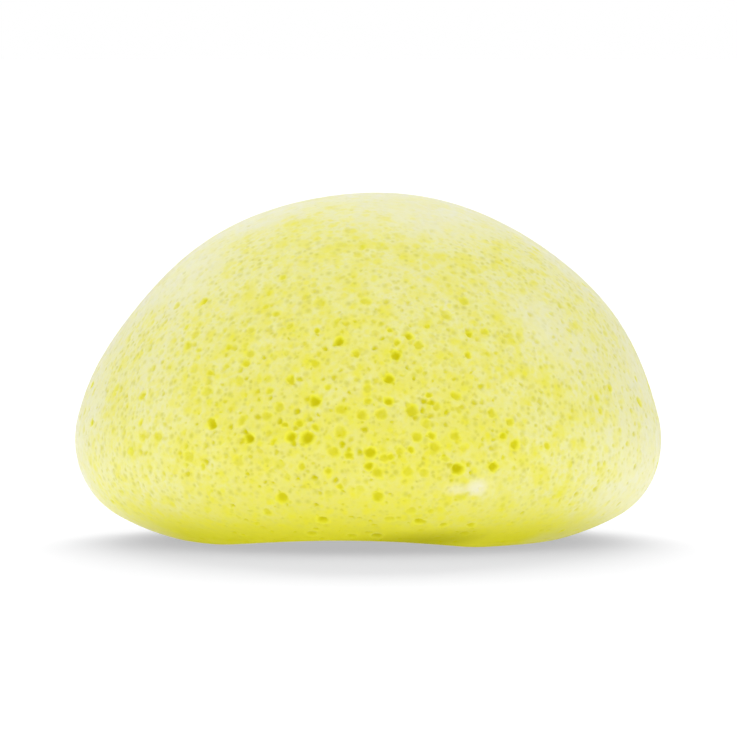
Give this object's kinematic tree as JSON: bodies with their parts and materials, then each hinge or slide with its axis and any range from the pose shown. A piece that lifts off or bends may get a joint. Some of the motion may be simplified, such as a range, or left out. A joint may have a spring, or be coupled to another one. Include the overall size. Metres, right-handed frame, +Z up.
{
  "type": "konjac facial sponge",
  "caption": "Half-dome facial sponge of soft open-celled konjac foam, with a full round rim and a hollow base on a flat pressed foot.",
  "frame": {"origin": "where the dome's axis meets the surface that the sponge stands on", "axes": "+Z up along the dome's axis; -Y towards the viewer of the picture; +X to the viewer's right"},
  "size_m": [0.08, 0.08, 0.0472],
  "materials": {
    "konjac_foam": "matte"
  },
  "bodies": {
    "root": {"sponge_body": "konjac_foam"}
  },
  "joints": []
}
